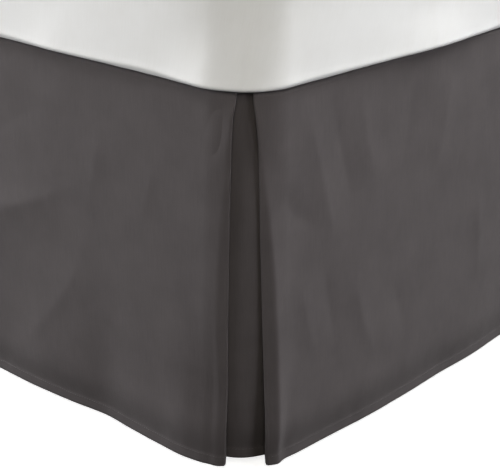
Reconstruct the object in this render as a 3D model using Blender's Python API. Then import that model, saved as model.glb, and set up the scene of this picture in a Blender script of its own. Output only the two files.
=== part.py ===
"""A tailored bed skirt with an inverted pleat at each foot corner, hung from a plain bed.

Lengths are in metres. The floor is at z = 0, the bed's foot faces -Y and its right side +X.
"""

from math import cos, exp, pi, sin
from typing import NamedTuple

import bmesh
import bpy
from mathutils import Vector

# The skirt's outline at its hem, and its drop from the deck
OUTLINE_WIDTH = 1.524
OUTLINE_LENGTH = 2.032
CORNER_RADIUS = 0.055
DROP = 0.3556
HEM_CLEARANCE = 0.005

# The cloth
CLOTH = 0.0015
HEM_DEPTH = 0.010
HEM_STEP = 0.0008
HEM_THICKNESS = 0.0024
UNDERLAY_LIFT = 0.0038
RETURN_WIDTH = 0.060
TUCK_REACH = 0.014
FOLD_FADE = 0.036

# Clearances between pieces
GAP = 0.0003
SEAM_GAP = 0.0005

# The bed that carries the skirt
BASE_INSET = 0.0118
BASE_HEIGHT = 0.200
BASE_CORNER = 0.060
BASE_ROUNDING = 0.008
MATTRESS_OVERHANG = 0.0097
MATTRESS_HEIGHT = 0.250
MATTRESS_CORNER = 0.060
MATTRESS_LOWER_ROUNDING = 0.015
MATTRESS_UPPER_ROUNDING = 0.035
LEG_TOP_RADIUS = 0.026
LEG_FOOT_RADIUS = 0.019
LEG_X = 0.640
LEG_Y = 0.880

# How finely the pieces are divided
FRONT_STEPS_FOOT = 36
FRONT_STEPS_SIDE = 40
STEP_CONTRAST = 0.85
FOLD_STEPS = 5
RETURN_STEPS = 8
UNDERLAY_STEPS = 24
CORNER_STEPS = 6
ROUNDING_STEPS = 3
LEG_SIDES = 16
SMOOTH_ANGLE = 0.7

# Heights and half sizes that follow from the sizes above
DECK_TOP = HEM_CLEARANCE + DROP
SKIRT_TOP = DECK_TOP - CLOTH - GAP
HALF_WIDTH = OUTLINE_WIDTH / 2
HALF_LENGTH = OUTLINE_LENGTH / 2
STRAIGHT_FOOT = HALF_WIDTH - CORNER_RADIUS
QUARTER_TURN = CORNER_RADIUS * pi / 2
CORNER = STRAIGHT_FOOT + QUARTER_TURN / 2


class PleatRow(NamedTuple):
    """The pleat at one height. Depths run inwards from the hem's outline."""

    height: float
    hang: float        # depth of the drops' outer face
    left: float        # from the corner's middle round to the left flap's folded edge
    right: float       # from the corner's middle round to the right flap's folded edge
    left_tuck: float   # how much further in the left flap's edge is turned
    right_tuck: float  # how much further in the right flap's edge is turned
    fold: float        # from the middle of a flap's cloth to the middle of its return
    middle: float      # depth of the underlay's outer face behind the opening
    side: float        # depth of the underlay's outer face behind the flaps


# From the hem up. Left and right are as seen from outside the corner.
PLEAT = (
    #         height          hang    left    right   l_tuck  r_tuck  fold    middle  side
    PleatRow(HEM_CLEARANCE,   0.0000, 0.0184, 0.0243, 0.0034, 0.0016, 0.0042, 0.0154, 0.0114),
    PleatRow(0.075,           0.0001, 0.0175, 0.0208, 0.0036, 0.0030, 0.0037, 0.0125, 0.0098),
    PleatRow(0.141,           0.0005, 0.0174, 0.0186, 0.0032, 0.0030, 0.0032, 0.0104, 0.0086),
    PleatRow(0.190,           0.0009, 0.0173, 0.0168, 0.0030, 0.0028, 0.0028, 0.0094, 0.0082),
    PleatRow(0.2355,          0.0015, 0.0169, 0.0145, 0.0026, 0.0027, 0.0025, 0.0092, 0.0082),
    PleatRow(0.277,           0.0022, 0.0164, 0.0123, 0.0016, 0.0018, 0.0023, 0.0090, 0.0082),
    PleatRow(0.319,           0.0030, 0.0155, 0.0099, 0.0006, 0.0008, 0.0021, 0.0087, 0.0082),
    PleatRow(0.345,           0.0037, 0.0139, 0.0059, 0.0003, 0.0003, 0.0021, 0.0084, 0.0082),
    PleatRow(SKIRT_TOP,       0.0040, 0.0087, 0.0033, 0.0000, 0.0000, 0.0021, 0.0082, 0.0082),
)
UNDERLAY_MIDDLE_REACH = 0.020
UNDERLAY_SIDE_REACH = 0.055


class Fold(NamedTuple):
    """One soft trough or ridge of a drop, an oval that fades out from its centre."""

    place: float   # along the outline from the middle of the foot, + towards the right side
    height: float
    lean: float    # sideways run for each unit of height
    width: float   # half width where it has faded to a third
    length: float  # half length where it has faded to a third
    depth: float   # + for a trough, - for a ridge


FOLDS = (
    # Foot, beside the right pleat
    Fold(CORNER - 0.033, 0.000, 0.05, 0.009, 0.150, 0.0018),
    Fold(CORNER - 0.052, 0.095, -0.30, 0.014, 0.060, 0.0012),
    Fold(CORNER - 0.066, 0.000, 0.15, 0.022, 0.090, -0.0036),
    Fold(CORNER - 0.175, 0.000, 0.10, 0.030, 0.090, 0.0042),
    Fold(CORNER - 0.268, 0.200, 1.80, 0.024, 0.090, -0.0028),
    Fold(CORNER - 0.250, 0.095, 0.85, 0.022, 0.055, -0.0015),
    # Foot, further along
    Fold(CORNER - 0.410, 0.060, 0.20, 0.045, 0.130, 0.0030),
    Fold(CORNER - 0.560, 0.120, -0.25, 0.050, 0.150, -0.0028),
    Fold(CORNER - 0.720, 0.020, 0.15, 0.040, 0.130, 0.0034),
    Fold(CORNER - 0.930, 0.150, -0.50, 0.055, 0.140, -0.0026),
    Fold(CORNER - 1.090, 0.010, 0.10, 0.040, 0.120, 0.0036),
    Fold(CORNER - 1.240, 0.170, 0.60, 0.035, 0.120, -0.0022),
    # Right side, beside the pleat
    Fold(CORNER + 0.042, 0.190, -0.22, 0.011, 0.120, -0.0016),
    Fold(CORNER + 0.092, 0.220, -0.38, 0.020, 0.130, -0.0022),
    Fold(CORNER + 0.043, 0.000, 0.00, 0.014, 0.045, 0.0024),
    Fold(CORNER + 0.200, 0.010, -0.10, 0.090, 0.140, -0.0030),
    Fold(CORNER + 0.178, 0.110, -0.45, 0.016, 0.060, -0.0012),
    Fold(CORNER + 0.250, 0.290, 0.30, 0.020, 0.060, 0.0014),
    Fold(CORNER + 0.300, 0.000, -0.10, 0.045, 0.080, 0.0014),
    Fold(CORNER + 0.440, 0.030, 0.10, 0.060, 0.150, 0.0060),
    # Right side, further along
    Fold(CORNER + 0.620, 0.090, -0.20, 0.060, 0.150, -0.0030),
    Fold(CORNER + 0.830, 0.020, 0.15, 0.055, 0.130, 0.0036),
    Fold(CORNER + 1.050, 0.160, -0.45, 0.060, 0.150, -0.0026),
    Fold(CORNER + 1.300, 0.010, 0.10, 0.055, 0.140, 0.0040),
    Fold(CORNER + 1.560, 0.120, 0.30, 0.065, 0.150, -0.0030),
    Fold(CORNER + 1.800, 0.020, -0.10, 0.060, 0.130, 0.0030),
    # Left side, from the pleat towards the head
    Fold(-CORNER - 0.090, 0.160, 0.35, 0.022, 0.130, -0.0022),
    Fold(-CORNER - 0.210, 0.030, 0.15, 0.060, 0.150, 0.0038),
    Fold(-CORNER - 0.400, 0.120, 0.50, 0.055, 0.140, -0.0028),
    Fold(-CORNER - 0.610, 0.020, -0.10, 0.050, 0.140, 0.0036),
    Fold(-CORNER - 0.860, 0.150, 0.35, 0.065, 0.150, -0.0030),
    Fold(-CORNER - 1.130, 0.010, -0.15, 0.055, 0.130, 0.0042),
    Fold(-CORNER - 1.420, 0.130, -0.40, 0.065, 0.150, -0.0028),
    Fold(-CORNER - 1.720, 0.030, 0.10, 0.060, 0.140, 0.0034),
)


class Drop(NamedTuple):
    """One hanging panel, between two places on the outline."""

    name: str
    start: float
    end: float
    start_pleated: bool
    end_pleated: bool
    steps: int


def clear_scene():
    """Removes whatever the file holds."""
    for thing in list(bpy.data.objects):
        bpy.data.objects.remove(thing, do_unlink=True)


def make_material(name, colour, roughness):
    """A plain finish."""
    material = bpy.data.materials.new(name)
    material.use_nodes = True
    shader = material.node_tree.nodes["Principled BSDF"]
    shader.inputs["Base Color"].default_value = (*colour, 1.0)
    shader.inputs["Roughness"].default_value = roughness
    shader.inputs["Metallic"].default_value = 0.0
    return material


def add_object(name, mesh_data, material):
    """Turns a finished bmesh into a named object with its faces pointing out."""
    bmesh.ops.recalc_face_normals(mesh_data, faces=mesh_data.faces)
    mesh = bpy.data.meshes.new(name)
    mesh_data.to_mesh(mesh)
    mesh_data.free()
    mesh.shade_smooth()
    mesh.set_sharp_from_angle(angle=SMOOTH_ANGLE)
    mesh.materials.append(material)
    thing = bpy.data.objects.new(name, mesh)
    bpy.context.scene.collection.objects.link(thing)
    return thing


def add_rings(mesh_data, rings):
    """Joins closed rings of points, one above the other, and returns their vertices."""
    vertices = [[mesh_data.verts.new(point) for point in ring] for ring in rings]
    for lower, upper in zip(vertices, vertices[1:]):
        for here in range(len(lower)):
            after = (here + 1) % len(lower)
            mesh_data.faces.new((lower[here], lower[after], upper[after], upper[here]))
    return vertices


def smooth_share(value):
    """Eases a share from 0 to 1, and holds it at the ends."""
    share = min(1.0, max(0.0, value))
    return share * share * (3 - 2 * share)


def outline_point(place, depth):
    """A point in plan, from its place along the skirt's outline and its depth inside it.

    Place 0 is the middle of the foot. Places grow towards the right foot corner and on
    along the right side, and they fall in the same way towards the left.
    """
    distance = abs(place)
    if distance <= STRAIGHT_FOOT:
        x, y = distance, depth - HALF_LENGTH
    elif distance <= STRAIGHT_FOOT + QUARTER_TURN:
        angle = (distance - STRAIGHT_FOOT) / CORNER_RADIUS
        radius = CORNER_RADIUS - depth
        x = STRAIGHT_FOOT + radius * sin(angle)
        y = CORNER_RADIUS - HALF_LENGTH - radius * cos(angle)
    else:
        x = HALF_WIDTH - depth
        y = CORNER_RADIUS - HALF_LENGTH + distance - STRAIGHT_FOOT - QUARTER_TURN
    return Vector((x if place >= 0 else -x, y))


def head_end():
    """The place on the outline where the right side ends, level with the deck's head edge."""
    return STRAIGHT_FOOT + QUARTER_TURN + HALF_LENGTH - CORNER_RADIUS + deck_half_length()


def deck_half_length():
    """The deck's half length, flush with the tops of the drops."""
    return HALF_LENGTH - PLEAT[-1].hang


def pleat_at(height):
    """The pleat's sizes at a height, between the rows of its table."""
    for low, high in zip(PLEAT, PLEAT[1:]):
        if height <= high.height:
            share = (height - low.height) / (high.height - low.height)
            return PleatRow(*(a + (b - a) * share for a, b in zip(low, high)))
    return PLEAT[-1]


def row_heights(hem):
    """The heights of a cloth's rows: the hem's edge, its top with a small step, and up."""
    hem_top = hem + HEM_DEPTH
    return [hem, hem_top, hem_top + HEM_STEP] + [row.height for row in PLEAT[1:]]


def thickness_at(height, hem):
    """The cloth's thickness, double in the hem."""
    return HEM_THICKNESS if height < hem + HEM_DEPTH + HEM_STEP / 2 else CLOTH


def fold_depth(place, height):
    """The depth that all soft folds give a drop at one point."""
    depth = 0.0
    for fold in FOLDS:
        rise = height - fold.height
        across = (place - fold.place - fold.lean * rise) / fold.width
        depth += fold.depth * exp(-across * across - (rise / fold.length) ** 2)
    return depth * smooth_share((SKIRT_TOP - height) / FOLD_FADE)


def drop_depth(place, height):
    """The depth of the middle of a drop's cloth."""
    return pleat_at(height).hang + CLOTH / 2 + fold_depth(place, height)


def flap_path(edge, towards, tuck, height, thickness):
    """A flap's cloth from its return's sewn end round its folded edge, in places and depths.

    Towards is 1 where the drop lies at larger places than its edge, and -1 where it does not.
    """
    row = pleat_at(height)
    radius = row.fold / 2
    turn = edge + towards * (radius + thickness / 2)
    front = drop_depth(turn, height) + tuck
    layer = HEM_THICKNESS if height < HEM_CLEARANCE + 2 * HEM_DEPTH else CLOTH
    sewn = row.side + CLOTH / 2 - layer - SEAM_GAP
    path = []
    for step in range(RETURN_STEPS):
        share = step / RETURN_STEPS
        place = edge + towards * RETURN_WIDTH
        depth = sewn + (front + row.fold - sewn) * share
        path.append((place + (turn - place) * share, depth))
    for step in range(FOLD_STEPS + 1):
        angle = pi * step / FOLD_STEPS
        place = turn - towards * radius * sin(angle)
        path.append((place, front + radius + radius * cos(angle)))
    return path


def step_share(step, drop):
    """The share of a drop's width at a step, with closer steps beside its pleats."""
    share = step / drop.steps
    if drop.start_pleated and drop.end_pleated:
        return share - STEP_CONTRAST * sin(2 * pi * share) / (2 * pi)
    bend = STEP_CONTRAST * sin(pi * share) / pi
    return share - bend if drop.start_pleated else share + bend


def drop_path(drop, height, thickness):
    """A drop's cloth at one height, from its start to its end, in places and depths."""
    row = pleat_at(height)
    start_flap = [(drop.start, drop_depth(drop.start, height))]
    end_flap = [(drop.end, drop_depth(drop.end, height))]
    start_tuck = end_tuck = 0.0
    if drop.start_pleated:
        start_tuck = row.right_tuck
        start_flap = flap_path(drop.start + row.right, 1, start_tuck, height, thickness)
    if drop.end_pleated:
        end_tuck = row.left_tuck
        end_flap = flap_path(drop.end - row.left, -1, end_tuck, height, thickness)
    start, end = start_flap[-1][0], end_flap[-1][0]
    front = []
    for step in range(1, drop.steps):
        place = start + (end - start) * step_share(step, drop)
        depth = drop_depth(place, height)
        depth += start_tuck * max(0.0, 1 - (place - start) / TUCK_REACH) ** 2
        depth += end_tuck * max(0.0, 1 - (end - place) / TUCK_REACH) ** 2
        front.append((place, depth))
    return start_flap + front + end_flap[::-1]


def underlay_path(corner, height):
    """An underlay's cloth at one height, from left to right, in places and depths."""
    row = pleat_at(height)
    left, right = -row.left - RETURN_WIDTH, row.right + RETURN_WIDTH
    path = []
    for step in range(UNDERLAY_STEPS + 1):
        offset = left + (right - left) * step / UNDERLAY_STEPS
        spread = abs(offset) - UNDERLAY_MIDDLE_REACH
        share = smooth_share(spread / (UNDERLAY_SIDE_REACH - UNDERLAY_MIDDLE_REACH))
        depth = row.middle + (row.side - row.middle) * share + CLOTH / 2
        path.append((corner + offset, depth))
    return path


def cloth_faces(points, thickness):
    """The two faces of a cloth whose middle runs through points in plan."""
    tangents = [(after - before).normalized() for before, after in zip(points, points[1:])]
    right_face, left_face = [], []
    for point, before, after in zip(points, tangents[:1] + tangents, tangents + tangents[-1:]):
        along = (before + after).normalized()
        reach = thickness / 2 / along.dot(after)
        offset = Vector((along.y, -along.x)) * reach
        right_face.append(point + offset)
        left_face.append(point - offset)
    return right_face, left_face


def add_cloth(name, heights, paths, thicknesses, material):
    """A hanging cloth, from its path in plan at each of its heights."""
    rings = []
    for height, path, thickness in zip(heights, paths, thicknesses):
        points = [outline_point(place, depth) for place, depth in path]
        right_face, left_face = cloth_faces(points, thickness)
        rings.append([(*point, height) for point in right_face + left_face[::-1]])
    mesh_data = bmesh.new()
    vertices = add_rings(mesh_data, rings)
    count = len(paths[0])
    for ring in (vertices[0], vertices[-1]):
        for here in range(count - 1):
            back = 2 * count - 1 - here
            mesh_data.faces.new((ring[here], ring[here + 1], ring[back - 1], ring[back]))
    return add_object(name, mesh_data, material)


def add_drop(drop, material):
    """One hanging panel with its hem, and its folded-back end at each pleat."""
    heights = row_heights(HEM_CLEARANCE)
    thicknesses = [thickness_at(height, HEM_CLEARANCE) for height in heights]
    paths = [drop_path(drop, height, thick) for height, thick in zip(heights, thicknesses)]
    return add_cloth(drop.name, heights, paths, thicknesses, material)


def add_underlay(name, corner, material):
    """The piece of cloth behind one corner's opening."""
    hem = HEM_CLEARANCE + UNDERLAY_LIFT
    heights = row_heights(hem)
    thicknesses = [thickness_at(height, hem) for height in heights]
    paths = [underlay_path(corner, height) for height in heights]
    return add_cloth(name, heights, paths, thicknesses, material)


def add_deck(material):
    """The flat platform that the drops hang from."""
    depth = PLEAT[-1].hang
    places = [STRAIGHT_FOOT + QUARTER_TURN * step / CORNER_STEPS for step in range(CORNER_STEPS + 1)]
    places.append(head_end())
    places = [-place for place in reversed(places)] + places
    outline = [outline_point(place, depth) for place in places]
    mesh_data = bmesh.new()
    heights = (DECK_TOP - CLOTH, DECK_TOP)
    rings = add_rings(mesh_data, [[(*point, height) for point in outline] for height in heights])
    for ring in rings:
        mesh_data.faces.new(ring)
    return add_object("deck", mesh_data, material)


def rounded_rectangle(half_x, half_y, radius, height):
    """A closed ring of points, straight but for its four round corners."""
    ring = []
    for quarter, (side_x, side_y) in enumerate(((1, 1), (-1, 1), (-1, -1), (1, -1))):
        for step in range(CORNER_STEPS + 1):
            angle = (quarter + step / CORNER_STEPS) * pi / 2
            x = side_x * (half_x - radius) + radius * cos(angle)
            y = side_y * (half_y - radius) + radius * sin(angle)
            ring.append((x, y, height))
    return ring


def add_slab(name, half_x, half_y, corner, bottom, top, roundings, material):
    """A block with round corners, and with its lower and upper edges rounded."""
    lower, upper = roundings
    profile = []
    for step in range(ROUNDING_STEPS + 1):
        angle = step / ROUNDING_STEPS * pi / 2
        profile.append((lower * (1 - sin(angle)), bottom + lower * (1 - cos(angle))))
    for step in range(ROUNDING_STEPS + 1):
        angle = step / ROUNDING_STEPS * pi / 2
        profile.append((upper * (1 - cos(angle)), top - upper * (1 - sin(angle))))
    rings = []
    for inset, height in profile:
        rings.append(rounded_rectangle(half_x - inset, half_y - inset, corner - inset, height))
    mesh_data = bmesh.new()
    vertices = add_rings(mesh_data, rings)
    mesh_data.faces.new(vertices[0])
    mesh_data.faces.new(vertices[-1])
    return add_object(name, mesh_data, material)


def add_leg(name, x, y, height, material):
    """A plain tapered leg, standing on the floor."""
    mesh_data = bmesh.new()
    bmesh.ops.create_cone(
        mesh_data,
        cap_ends=True,
        segments=LEG_SIDES,
        radius1=LEG_FOOT_RADIUS,
        radius2=LEG_TOP_RADIUS,
        depth=height,
    )
    leg = add_object(name, mesh_data, material)
    leg.location = (x, y, height / 2)
    return leg


def add_skirt():
    """The deck, the three drops and the two underlays."""
    cloth = make_material("charcoal_cloth", (0.089, 0.080, 0.083), 0.85)
    drops = (
        Drop("drop_side_left", -head_end(), -CORNER, False, True, FRONT_STEPS_SIDE),
        Drop("drop_foot", -CORNER, CORNER, True, True, FRONT_STEPS_FOOT),
        Drop("drop_side_right", CORNER, head_end(), True, False, FRONT_STEPS_SIDE),
    )
    for drop in drops:
        add_drop(drop, cloth.copy())
    add_underlay("pleat_underlay_left", -CORNER, cloth.copy())
    add_underlay("pleat_underlay_right", CORNER, cloth.copy())
    add_deck(cloth)


def add_bed():
    """The mattress, the base and its six legs."""
    half_x, half_y = HALF_WIDTH - BASE_INSET, HALF_LENGTH - BASE_INSET
    base_bottom = SKIRT_TOP - BASE_HEIGHT
    ticking = make_material("base_cloth", (0.62, 0.60, 0.56), 0.9)
    roundings = (BASE_ROUNDING, BASE_ROUNDING)
    add_slab("base", half_x, half_y, BASE_CORNER, base_bottom, SKIRT_TOP, roundings, ticking)
    half_x, half_y = HALF_WIDTH + MATTRESS_OVERHANG, HALF_LENGTH + MATTRESS_OVERHANG
    bottom = DECK_TOP + GAP
    top = bottom + MATTRESS_HEIGHT
    white = make_material("white_sheet", (0.80, 0.79, 0.76), 0.85)
    roundings = (MATTRESS_LOWER_ROUNDING, MATTRESS_UPPER_ROUNDING)
    add_slab("mattress", half_x, half_y, MATTRESS_CORNER, bottom, top, roundings, white)
    wood = make_material("leg_wood", (0.10, 0.06, 0.035), 0.5)
    for end, y in (("foot", -LEG_Y), ("middle", 0.0), ("head", LEG_Y)):
        for side, x in (("left", -LEG_X), ("right", LEG_X)):
            add_leg(f"leg_{end}_{side}", x, y, base_bottom - GAP, wood.copy())


clear_scene()
add_skirt()
add_bed()
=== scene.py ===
"""The looks of a bed skirt on a bed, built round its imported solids.

Lengths are in metres, in the solids' frame: the floor is at z = 0, the bed's foot faces -Y
and its right side +X.
"""

from functools import partial
from math import cos, pi, radians, sin
from typing import NamedTuple

import bmesh
import bpy
import numpy as np
from mathutils import Matrix, Vector, noise


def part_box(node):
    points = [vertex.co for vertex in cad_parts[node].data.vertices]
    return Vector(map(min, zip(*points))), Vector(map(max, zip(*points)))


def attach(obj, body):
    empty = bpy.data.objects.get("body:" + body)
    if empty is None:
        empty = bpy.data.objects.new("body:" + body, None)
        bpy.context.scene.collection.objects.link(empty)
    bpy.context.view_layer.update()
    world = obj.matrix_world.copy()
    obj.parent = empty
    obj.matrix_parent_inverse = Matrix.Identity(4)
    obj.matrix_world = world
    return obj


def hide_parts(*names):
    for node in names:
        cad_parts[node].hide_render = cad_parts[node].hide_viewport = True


# The skirt's outline at its hem, and its drop from the deck
OUTLINE_WIDTH = 1.524
OUTLINE_LENGTH = 2.032
CORNER_RADIUS = 0.055
DROP = 0.3556
HEM_CLEARANCE = 0.005

# The cloth, finer than its solid
SOLID_CLOTH = 0.0015
CLOTH = 0.0009
GAP = 0.0003
HEM_DEPTH = 0.010
HEM_EXTRA = 0.0007
HEM_SEAM = HEM_DEPTH + 0.001
# The dent along the hem's stitching, and how far it fades above and below
HEM_DENT = 0.0018
HEM_DENT_UPPER = 0.014
HEM_DENT_LOWER = 0.009
# Where the hem's second layer ends, and the rounding of the cloth's lowest edge
LAYER_FADE = 0.0025
RAW_END_FADE = 0.0012
RIM_ROUNDING = 0.0015
RIM_SHARE = 0.45
UNDERLAY_LIFT = 0.0038
RETURN_WIDTH = 0.060
TUCK_REACH = 0.010
FOLD_FADE = 0.020
SEAM_GAP = 0.0005

DECK_TOP = HEM_CLEARANCE + DROP
SKIRT_TOP = DECK_TOP - SOLID_CLOTH - GAP
HALF_WIDTH = OUTLINE_WIDTH / 2
HALF_LENGTH = OUTLINE_LENGTH / 2
STRAIGHT_FOOT = HALF_WIDTH - CORNER_RADIUS
QUARTER_TURN = CORNER_RADIUS * pi / 2
CORNER = STRAIGHT_FOOT + QUARTER_TURN / 2
FOOT_FLAT = OUTLINE_WIDTH + 2 * RETURN_WIDTH
SIDE_FLAT = OUTLINE_LENGTH + RETURN_WIDTH

# How finely the cloth is divided
ROW_STEP = 0.0042
FRONT_STEPS_FOOT = 400
FRONT_STEPS_SIDE = 430
STEP_CONTRAST = 0.72
FOLD_STEPS = 12
RETURN_STEPS = 16
UNDERLAY_STEPS = 72

# The hem's stitching
STITCH_PITCH = 0.0031
STITCH_LENGTH = 0.0024
STITCH_RADIUS = 0.00017
STITCH_SECTIONS = 5
STITCH_SIDES = 5
STITCH_HEIGHT = 0.0088

# The camera, fitted to the photograph's hem and mattress lines
CAMERA_PLACE = (1.5178, -1.8733, 0.6753)
CAMERA_AZIMUTH = 41.316
CAMERA_PITCH = 20.676
CAMERA_ROLL = 0.888
CAMERA_LENS = 104.5
SENSOR_WIDTH = 36.0


class Light(NamedTuple):
    """A soft box. Its azimuth turns from the foot's own direction towards the right side's."""

    name: str
    azimuth: float
    elevation: float
    distance: float  # from the lit corner
    power: float
    colour: tuple


WARM = (1.0, 0.94, 0.80)
COOL = (1.0, 1.0, 1.0)
LIT_CORNER = (0.74, -0.98, 0.22)
LIGHT_SIZE = 1.6
LIGHTS = (
    Light("high_left_box", -85, 38, 3.0, 149, COOL),
    Light("low_left_box", -42, 12, 3.0, 54, COOL),
    Light("front_box", 41, 38, 3.0, 30, WARM),
    Light("low_right_box", 105, 12, 3.0, 45, COOL),
    Light("high_right_box", 165, 38, 3.0, 105, COOL),
    # Behind the bed, for its head and left side
    Light("back_left_box", 222, 20, 6.5, 190, COOL),
)
WORLD_FILL = 0.01
STAGE_RADIUS = 40.0
# The stage is white round the lit corner, as in the photograph, and pale grey further off
# On the floor the glow is painted light: a pool of light round the lit corner, fading to pale grey
STAGE_LIT_GLOW = 0.80
STAGE_FAR = 0.28
STAGE_FADE_START = 0.9
STAGE_FADE_END = 2.6
# How many radians the wave texture turns through in one unit
WAVE_RADIANS = 20.0
WEAVE_WOBBLE = 2.0
# Painted shade towards the hem: the colour there as a share of the cloth's, and the heights between
# which the painted shade fades
HEM_PAINTED_SHADE = 0.74
HEM_PAINTED_SHADE_FADE = (0.014, 0.050)


class PleatRow(NamedTuple):
    """The pleat at one height. Depths run inwards from the hem's outline."""

    height: float
    hang: float        # depth of the drops' outer face
    left: float        # from the corner's middle round to the left flap's folded edge
    right: float       # from the corner's middle round to the right flap's folded edge
    left_tuck: float   # how much further in the left flap's edge is turned
    right_tuck: float  # how much further in the right flap's edge is turned
    fold: float        # from the middle of a flap's cloth to the middle of its return
    middle: float      # depth of the underlay's outer face behind the opening
    side: float        # depth of the underlay's outer face behind the flaps


# From the hem up. Left and right are as seen from outside the corner.
PLEAT = (
    #         height          hang    left    right   l_tuck  r_tuck  fold    middle  side
    PleatRow(HEM_CLEARANCE,   0.0000, 0.0182, 0.0243, 0.0034, 0.0016, 0.0042, 0.0154, 0.0114),
    PleatRow(0.075,           0.0001, 0.0167, 0.0202, 0.0030, 0.0022, 0.0034, 0.0112, 0.0092),
    PleatRow(0.141,           0.0005, 0.0158, 0.0161, 0.0022, 0.0010, 0.0020, 0.0074, 0.0070),
    PleatRow(0.190,           0.0009, 0.0154, 0.0139, 0.0016, 0.0004, 0.0018, 0.0062, 0.0064),
    PleatRow(0.2355,          0.0015, 0.0150, 0.0119, 0.0010, 0.0002, 0.0018, 0.0059, 0.0064),
    PleatRow(0.277,           0.0022, 0.0144, 0.0108, 0.0004, 0.0001, 0.0018, 0.0062, 0.0066),
    PleatRow(0.319,           0.0030, 0.0136, 0.0092, 0.0001, 0.0000, 0.0018, 0.0070, 0.0072),
    PleatRow(0.345,           0.0037, 0.0124, 0.0060, 0.0000, 0.0000, 0.0019, 0.0080, 0.0080),
    PleatRow(SKIRT_TOP,       0.0040, 0.0082, 0.0034, 0.0000, 0.0000, 0.0019, 0.0082, 0.0082),
)
PLEAT_BLUR = 0.010
UNDERLAY_MIDDLE_REACH = 0.020
UNDERLAY_SIDE_REACH = 0.055
# The underlay's slanting crease: its offset from the corner's middle at a height, and its lean
UNDERLAY_CREASE_PLACE = 0.004
UNDERLAY_CREASE_TOP = 0.33
UNDERLAY_CREASE_LEAN = 0.22


class Ridge(NamedTuple):
    """An upright ridge of an underlay, which fades out at its top and bottom."""

    depth: float
    width: float
    top: float
    top_fade: float
    bottom: float
    bottom_fade: float


UNDERLAY_RIDGES = (
    #     depth   width   top    fade  bottom fade
    # The slanting crease under the deck's corner
    Ridge(0.0012, 0.0045, 0.345, 0.02, 0.20, 0.08),
    # Behind the right flap's edge, where the underlay comes forward at the right corner only
    Ridge(0.0030, 0.0130, 0.330, 0.08, 0.03, 0.09),
)


class Fold(NamedTuple):
    """One soft trough or ridge of a drop, an oval that fades out from its centre."""

    place: float   # along the outline from the middle of the foot, + towards the right side
    height: float
    lean: float    # sideways run for each unit of height
    width: float   # half width where it has faded to a third
    length: float  # half length where it has faded to a third
    depth: float   # + for a trough, - for a ridge


FOLDS = (
    # Foot, beside the right pleat
    Fold(CORNER - 0.088, 0.010, 0.30, 0.030, 0.075, -0.0020),
    Fold(CORNER - 0.064, 0.000, 0.10, 0.020, 0.090, -0.0026),
    Fold(CORNER - 0.033, 0.000, 0.05, 0.0085, 0.150, 0.0018),
    Fold(CORNER - 0.038, 0.080, 0.05, 0.026, 0.045, 0.0044),
    Fold(CORNER - 0.280, 0.000, 0.60, 0.040, 0.060, -0.0018),
    Fold(CORNER - 0.175, 0.000, 0.10, 0.030, 0.090, 0.0042),
    # Foot, further along
    Fold(CORNER - 0.410, 0.060, 0.20, 0.045, 0.130, 0.0030),
    Fold(CORNER - 0.560, 0.120, -0.25, 0.050, 0.150, -0.0028),
    Fold(CORNER - 0.720, 0.020, 0.15, 0.040, 0.130, 0.0034),
    Fold(CORNER - 0.930, 0.150, -0.50, 0.055, 0.140, -0.0026),
    Fold(CORNER - 1.090, 0.010, 0.10, 0.040, 0.120, 0.0036),
    Fold(CORNER - 1.240, 0.170, 0.60, 0.035, 0.120, -0.0022),
    # Right side, beside the pleat
    Fold(CORNER + 0.220, 0.020, -0.10, 0.110, 0.140, -0.0026),
    Fold(CORNER + 0.043, 0.000, 0.00, 0.014, 0.045, 0.0024),
    Fold(CORNER + 0.165, 0.000, -0.10, 0.045, 0.060, -0.0014),
    Fold(CORNER + 0.300, 0.000, -0.10, 0.045, 0.080, 0.0016),
    Fold(CORNER + 0.440, 0.030, 0.10, 0.060, 0.150, 0.0060),
    # Right side, further along
    Fold(CORNER + 0.620, 0.090, -0.20, 0.060, 0.150, -0.0030),
    Fold(CORNER + 0.830, 0.020, 0.15, 0.055, 0.130, 0.0036),
    Fold(CORNER + 1.050, 0.160, -0.45, 0.060, 0.150, -0.0026),
    Fold(CORNER + 1.300, 0.010, 0.10, 0.055, 0.140, 0.0040),
    Fold(CORNER + 1.560, 0.120, 0.30, 0.065, 0.150, -0.0030),
    Fold(CORNER + 1.800, 0.020, -0.10, 0.060, 0.130, 0.0030),
    # Left side, from the pleat towards the head
    Fold(-CORNER - 0.090, 0.160, 0.35, 0.022, 0.130, -0.0022),
    Fold(-CORNER - 0.210, 0.030, 0.15, 0.060, 0.150, 0.0038),
    Fold(-CORNER - 0.400, 0.120, 0.50, 0.055, 0.140, -0.0028),
    Fold(-CORNER - 0.610, 0.020, -0.10, 0.050, 0.140, 0.0036),
    Fold(-CORNER - 0.860, 0.150, 0.35, 0.065, 0.150, -0.0030),
    Fold(-CORNER - 1.130, 0.010, -0.15, 0.055, 0.130, 0.0042),
    Fold(-CORNER - 1.420, 0.130, -0.40, 0.065, 0.150, -0.0028),
    Fold(-CORNER - 1.720, 0.030, 0.10, 0.060, 0.140, 0.0034),
)


class Crease(NamedTuple):
    """A narrower crease along a line on a drop, from a corner's middle."""

    width: float   # half width where it has faded to a third
    depth: float   # + for a trough, - for a ridge
    line: tuple    # pairs of an offset from the corner's middle and a height


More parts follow.
